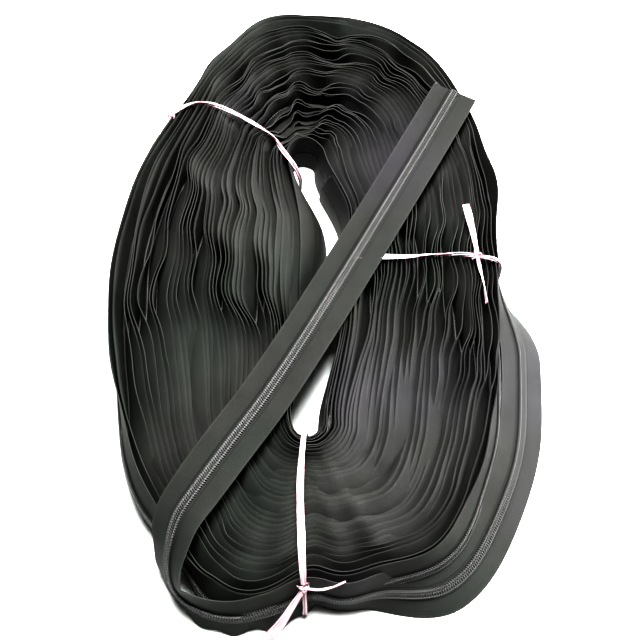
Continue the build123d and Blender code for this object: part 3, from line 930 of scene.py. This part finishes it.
start_out = -chain.along[0]
for share, word in ((0.25, "low"), (0.75, "top")):
    spot = chain.low[0] * (1 - share) + chain.top[0] * share
    obj = fray(f"inner_end_fray_{word}", spot, start_out, chain.wide[0] * 4 + 0.1, 14, 6.0, loose_mat)
    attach(obj, "hank")
tip = len(chain.run) - 1
for share, word in ((0.05, "left"), (0.95, "right")):
    spot = chain.low[tip] * (1 - share) + chain.top[tip] * share
    spread = chain.wide[tip] * 1.2 + 0.05
    obj = fray(f"free_end_fray_{word}", spot, chain.along[tip], spread, 5, 2.5, loose_mat)
    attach(obj, "tip_span")
LOOSE_FIBRES = [((111, 87, 33), (0.3, 1, 0.3)), ((101, 146, 31), (0.5, 0.2, 0.4))]
for number, ((x, y, z), heading) in enumerate(LOOSE_FIBRES, 1):
    place = np.array([x + HOLE[0], y + HOLE[1], z])
    obj = fray(f"loose_fibre_{number}", place, heading, 0.4, 2, 12.0, loose_mat)
    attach(obj, "hank")


# ---------------------------------------------------------------- the three ribbons
def film(name, keys, width, crumple, step=0.8):
    """A split-film ribbon along keyed points from the hole's centre: x, y, z, share of full width, roll."""
    keys = np.asarray(keys, float)
    length = np.linalg.norm(np.diff(keys[:, :3], axis=0), axis=1).sum()
    rows = spline(keys, max(12, int(length / step)))
    centre = rows[:, :3] + [HOLE[0], HOLE[1], 0]
    along = unit(np.gradient(centre, axis=0))
    # Carry a side direction along the path without sudden turns.
    side = np.zeros_like(centre)
    first = np.cross(along[0], [0.1, 0.2, 1.0])
    side[0] = first / np.linalg.norm(first)
    for i in range(1, len(centre)):
        v = side[i - 1] - (side[i - 1] @ along[i]) * along[i]
        side[i] = v / np.linalg.norm(v)
    up = np.cross(side, along)
    roll = np.radians(rows[:, 4])[:, None]
    wide = side * np.cos(roll) + up * np.sin(roll)
    high = np.cross(wide, along)
    run = np.concatenate([[0], np.cumsum(np.linalg.norm(np.diff(centre, axis=0), axis=1))])
    v = np.linspace(-1, 1, 13)
    share = rows[:, 3][:, None]
    half = width / 2 * share
    phase = RNG.uniform(0, 6)
    fold = crumple * (1.15 - share) * np.sin(5.2 * v[None, :] + phase + run[:, None] / 9)
    fold = fold + 0.12 * np.sin(11 * v[None, :] + run[:, None] / 3.1 + phase)
    fold = fold + 0.07 * np.sin(run[:, None] / 1.3 + 4 * v[None, :])
    grid = centre[:, None] + wide[:, None] * (half * v[None, :])[..., None] + high[:, None] * fold[..., None]
    grid[..., 2] = np.maximum(grid[..., 2], FILM_HEIGHT)
    obj = add_mesh(name, *closed_strip(grid, grid_normals(grid), RIBBON_THICK, run, v * width / 2))
    obj.data.materials.append(film_mat)
    return obj, centre, run


def knot(name, place, size, turn):
    """An overhand knot: a trefoil of crumpled film pulled tight."""
    t = np.linspace(0, 2 * math.pi, 90)
    x = (np.sin(t) + 1.6 * np.sin(2 * t)) * size[0] / 2.4
    y = (np.cos(t) - 1.6 * np.cos(2 * t)) * size[1] / 2.4
    z = -np.sin(3 * t) * size[2] / 2
    c, q = math.cos(math.radians(turn)), math.sin(math.radians(turn))
    centre = (place[0] + c * x - q * y, place[1] + q * x + c * y, place[2] + z)
    keys = np.column_stack([*centre, 0.5 + 0.06 * np.sin(3 * t), 150 * np.sin(t)])
    obj, _, _ = film(name, keys, RIBBON_WIDTH, 0.45, step=0.5)
    return obj


TIES = {
    "left_tie": dict(
        knot=([-107.0, 127.5, 32.0], (3.2, 2.6, 2.6), 30),
        loop=[
            [-105, 128.6, 32.8, 0.55, 0], [-97, 132.5, 34.8, 0.5, 20],
            [-87.5, 134.4, 36.0, 0.55, 60], [-76, 131.5, 36.4, 0.5, 110],
            [-64, 125.7, 36.3, 0.6, 170], [-48, 115.5, 36.2, 0.55, 215],
            [-36, 105.5, 36.0, 0.7, 260], [-29, 95, 35.0, 0.65, 300],
            [-21.6, 84.5, 33.2, 0.6, 330], [-17.9, 80.6, 24, 0.6, 360],
            [-17.6, 80, 8, 0.6, 380], [-19.6, 81, 0.9, 0.8, 400],
            [-40, 92, 0.35, 0.9, 410], [-80, 113, 0.35, 0.9, 410],
            [-103, 126, 0.6, 0.8, 410], [-109, 129, 5, 0.6, 400],
            [-109.6, 129.3, 16, 0.55, 390], [-108.6, 128.8, 27, 0.5, 380], [-107.5, 128.1, 31.0, 0.5, 370],
        ],
        tails=[
            [
                [-107, 128, 33, 0.45, 0], [-104.5, 138, 35, 0.7, 40],
                [-100.5, 152, 36.2, 0.95, 70], [-96.6, 164.5, 36.8, 1.0, 80],
            ],
            [
                [-107.6, 127, 31.5, 0.45, 0], [-115, 112, 31, 0.7, -30],
                [-125, 95, 26.5, 0.95, -50], [-132.5, 79, 21.5, 1.0, -60],
            ],
        ],
    ),
    "right_tie": dict(
        knot=([97.2, 13.0, 37.2], (3.0, 2.6, 2.4), 75),
        loop=[
            [95.5, 13.4, 37.0, 0.55, 0], [84, 14.6, 36.4, 0.5, 60],
            [67, 14.2, 36.0, 0.6, 150], [50, 13.0, 35.9, 0.7, 180],
            [30, 13.4, 35.6, 0.9, 180], [15, 14, 35.2, 0.85, 180],
            [8.6, 14.4, 33, 0.7, 190], [6.6, 14.6, 24, 0.6, 200],
            [6.6, 14.6, 8, 0.6, 200], [8.5, 14.4, 0.9, 0.8, 190],
            [25, 13.6, 0.35, 0.9, 180], [80, 12, 0.35, 0.9, 180],
            [106, 10.6, 0.5, 0.8, 180], [113.6, 10.4, 6, 0.6, 170],
            [114.2, 10.2, 20, 0.55, 150], [112.6, 10.4, 32, 0.5, 120],
            [108, 11.2, 36.0, 0.5, 60], [99, 12.6, 37.0, 0.5, 20],
        ],
        tails=[
            [
                [97.3, 14, 37.5, 0.45, 0], [95.6, 27, 38.4, 0.75, 30],
                [93.6, 40, 38.6, 1.0, 20], [91.8, 50.6, 38.4, 1.0, 10],
            ],
            [
                [97.3, 12, 37.2, 0.45, 0], [99.2, -1, 37.4, 0.6, 60],
                [100.6, -12, 36.8, 0.75, 85], [101.3, -20.6, 36.0, 0.8, 95],
            ],
        ],
    ),
    "near_tie": dict(
        knot=([-12.6, -196.8, 25.2], (3.4, 2.6, 2.8), 10),
        loop=[
            [-12.8, -195.6, 27.6, 0.6, 0], [-13.1, -191.0, 32.0, 0.75, 10],
            [-13.6, -183, 34.6, 0.9, 20], [-14.2, -168, 35.6, 1.0, 0],
            [-15.0, -148, 35.9, 0.95, -15], [-14.8, -128, 36.0, 0.8, 10],
            [-13.6, -112, 35.8, 0.65, 40], [-12.6, -102.4, 33.6, 0.55, 70],
            [-12.2, -97.6, 25, 0.5, 90], [-12.2, -97.2, 8, 0.5, 90],
            [-12.2, -99.5, 0.9, 0.8, 20], [-12.4, -115, 0.35, 0.9, 0],
            [-12.8, -185, 0.35, 0.9, 0], [-12.8, -203.5, 0.5, 0.8, 0],
            [-12.5, -208.0, 5, 0.6, 20], [-12.2, -204.8, 14, 0.5, 40],
            [-12.4, -199.0, 22.6, 0.5, 20],
        ],
        tails=[
            [
                [-12.2, -197.2, 26.0, 0.45, 0], [-4, -198.8, 29.0, 0.6, 30],
                [4, -197.8, 31.4, 0.7, 45], [11.2, -194.8, 32.4, 0.75, 50],
            ],
            [
                [-13.2, -198.0, 24.4, 0.5, 0], [-20, -207.0, 18.0, 0.85, 20],
                [-27, -215.6, 10.5, 1.15, 10], [-34.2, -221.6, 3.4, 1.25, 0],
            ],
        ],
    ),
}


def as_ribbon(obj, node):
    """Put a ribbon piece on the hank and hide the CAD solid that it stands for."""
    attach(obj, "hank")
    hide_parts(node)
    return obj


for tie, plan in TIES.items():
    core = knot(f"{tie}_knot_film", *plan["knot"])
    band, path, run = film(f"{tie}_band", plan["loop"], RIBBON_WIDTH, 0.9)
    as_ribbon(core, f"{tie}_knot")
    as_ribbon(band, f"{tie}_loop")
    for number, keys in enumerate(plan["tails"], 1):
        tail, _, _ = film(f"{tie}_tail_{number}", keys, RIBBON_WIDTH, 0.8)
        as_ribbon(tail, f"{tie}_knot")


# ---------------------------------------------------------------- floor, light, camera
def floor_paper():
    """The pale, faintly clouded surface that the hank lies on."""
    m, nodes, links, shader = node_material("floor_paper", 0.8)
    place = nodes.new("ShaderNodeTexCoord").outputs["Object"]
    clouds = noise(nodes, links, place, 40.0)
    pale = ramp(nodes, links, clouds, [(0.3, (0.80, 0.83, 0.80)), (0.7, (0.86, 0.88, 0.86))])
    links.new(pale, shader.inputs["Base Color"])
    return m


floor_mesh = bpy.data.meshes.new("floor")
corners = [(x * FLOOR_HALF, y * FLOOR_HALF, 0) for x, y in ((-1, -1), (1, -1), (1, 1), (-1, 1))]
floor_mesh.from_pydata(corners, [], [(0, 1, 2, 3)])
floor = bpy.data.objects.new("floor", floor_mesh)
bpy.context.scene.collection.objects.link(floor)
floor.data.materials.append(floor_paper())

world = bpy.data.worlds.new("studio")
bpy.context.scene.world = world
world.use_nodes = True
world.node_tree.nodes["Background"].inputs[0].default_value = (1, 1, 1, 1)
world.node_tree.nodes["Background"].inputs[1].default_value = 0.075


def area(name, place, aim, size, power):
    """A square soft light at place, turned towards aim."""
    data = bpy.data.lights.new(name, "AREA")
    data.shape = "SQUARE"
    data.size = size
    data.energy = power
    light = bpy.data.objects.new(name, data)
    light.location = place
    light.rotation_euler = (Vector(aim) - Vector(place)).to_track_quat("-Z", "Y").to_euler()
    bpy.context.scene.collection.objects.link(light)


area("overhead", (0.02, 0.30, 1.15), (0, 0, 0), 0.55, 50)
area("window", (1.30, 0.50, 0.50), (0, 0, 0), 0.9, 92)

ELEVATION = math.radians(65)
DISTANCE = 0.700
LENS, SENSOR = 61.14375, 36
SHIFT_X, SHIFT_Y = -0.009375, 0.015625
aim = Vector((HOLE[0] * MM, (HOLE[1] - 30) * MM, 0.016))
cam_data = bpy.data.cameras.new("camera")
cam = bpy.data.objects.new("camera", cam_data)
cam_data.sensor_width = SENSOR
cam_data.lens = LENS
cam.location = aim + DISTANCE * Vector((0, -math.cos(ELEVATION), math.sin(ELEVATION)))
cam.rotation_euler = (math.pi / 2 - ELEVATION, 0, 0)
cam_data.shift_x = SHIFT_X
cam_data.shift_y = SHIFT_Y
bpy.context.scene.collection.objects.link(cam)
bpy.context.scene.camera = cam
bpy.context.scene.view_settings.view_transform = "Standard"
bpy.context.scene.view_settings.look = "Very High Contrast"
